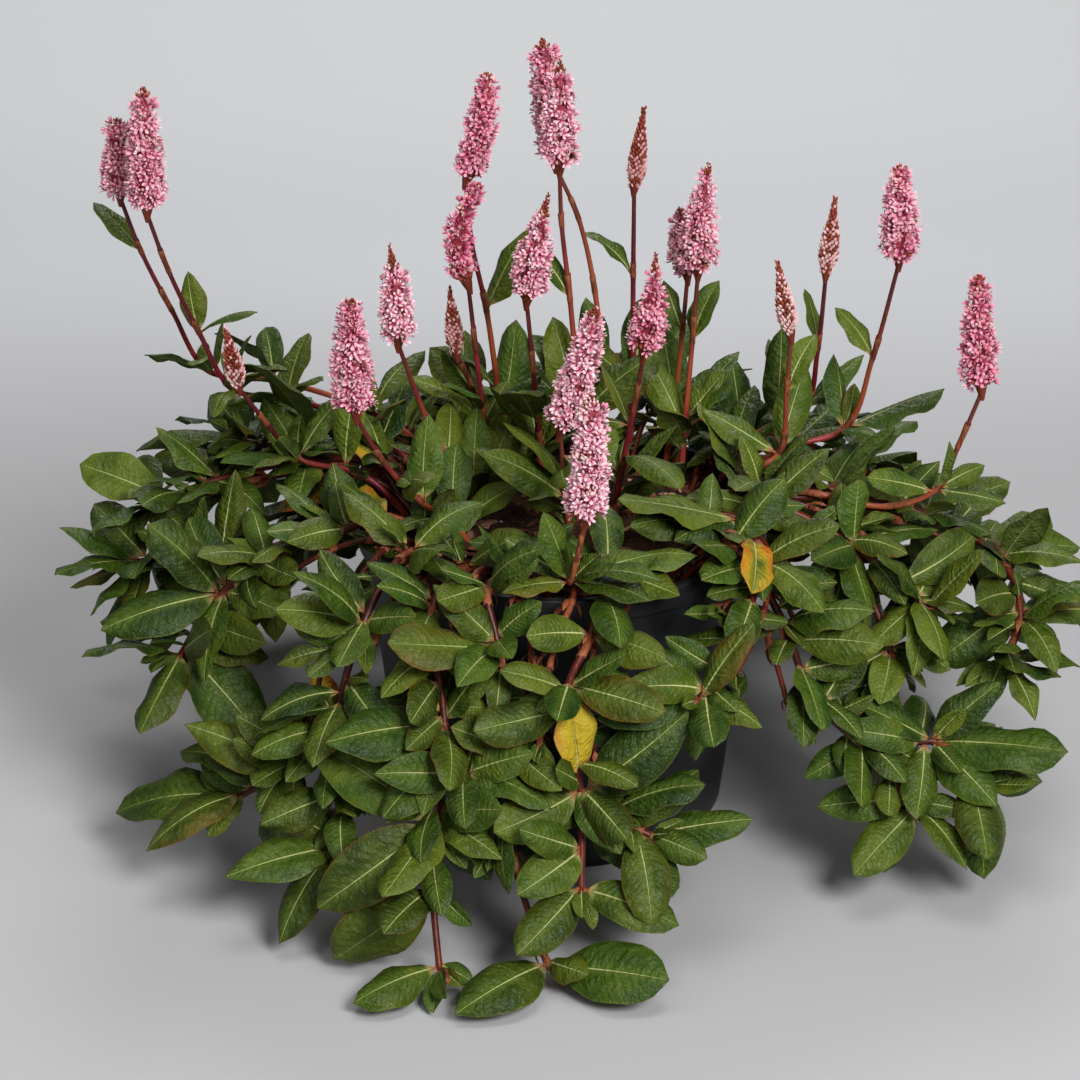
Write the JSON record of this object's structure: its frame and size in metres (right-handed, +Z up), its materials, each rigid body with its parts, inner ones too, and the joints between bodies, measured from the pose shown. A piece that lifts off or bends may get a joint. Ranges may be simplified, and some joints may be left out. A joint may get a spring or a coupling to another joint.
{
  "type": "potted superba knotweed",
  "caption": "Mat-forming garden perennial in a round black nursery pot: trailing leafy runners and upright pink flower spikes.",
  "frame": {"origin": "middle of the pot's flat underside, on the surface it stands on", "axes": "+Z up, -Y towards the picture's viewer, +X to the viewer's right"},
  "size_m": [0.4847, 0.449, 0.351],
  "materials": {
    "pot_plastic": "semi-matt moulded black plastic, faintly blue",
    "compost": "damp dark potting compost with bark and dead leaf litter",
    "petals": "pale pink to deep rose petals, matt with a soft sheen",
    "flower_buds": "red-brown bracts with whitish pink buds",
    "stems": "crimson to red-brown, slightly glossy, papery orange-brown sheaths at the nodes",
    "leaves": "glossy mid-green with a pale midrib"
  },
  "bodies": {
    "root": {"flower_spike_01": "petals", "flower_spike_02": "petals", "flower_spike_03": "flower_buds", "flower_spike_04": "petals", "flower_spike_05": "petals", "flower_spike_06": "flower_buds", "flower_spike_07": "petals", "flower_spike_08": "petals", "flower_spike_09": "petals", "flower_spike_10": "petals", "flower_spike_11": "petals", "flower_spike_12": "flower_buds", "flower_spike_13": "petals", "flower_spike_14": "petals", "flower_spike_15": "petals", "flower_spike_16": "petals", "flower_spike_17": "petals", "flower_spike_18": "flower_buds", "flower_spike_19": "flower_buds", "flower_spike_20": "petals", "flower_spike_21": "petals", "flower_stem_01": "stems", "flower_stem_02": "stems", "flower_stem_03": "stems", "flower_stem_04": "stems", "flower_stem_05": "stems", "flower_stem_06": "stems", "flower_stem_07": "stems", "flower_stem_08": "stems", "flower_stem_09": "stems", "flower_stem_10": "stems", "flower_stem_11": "stems", "flower_stem_12": "stems", "flower_stem_13": "stems", "flower_stem_14": "stems", "flower_stem_15": "stems", "flower_stem_16": "stems", "flower_stem_17": "stems", "flower_stem_18": "stems", "flower_stem_19": "stems", "flower_stem_20": "stems", "flower_stem_21": "stems", "leafy_runner_front": "leaves", "leafy_runner_front_left": "leaves", "leafy_runner_front_left_long": "leaves", "leafy_runner_front_long": "leaves", "leafy_runner_front_right": "leaves", "leafy_runner_left": "leaves", "leafy_runner_left_low": "leaves", "leafy_runner_left_rear": "leaves", "leafy_runner_left_top": "leaves", "leafy_runner_rear": "leaves", "leafy_runner_rear_left": "leaves", "leafy_runner_rear_right": "leaves", "leafy_runner_right": "leaves", "leafy_runner_right_far": "leaves", "leafy_runner_right_low": "leaves", "leafy_runner_right_rear": "leaves", "nursery_pot": "pot_plastic", "potting_compost": "compost"}
  },
  "joints": []
}
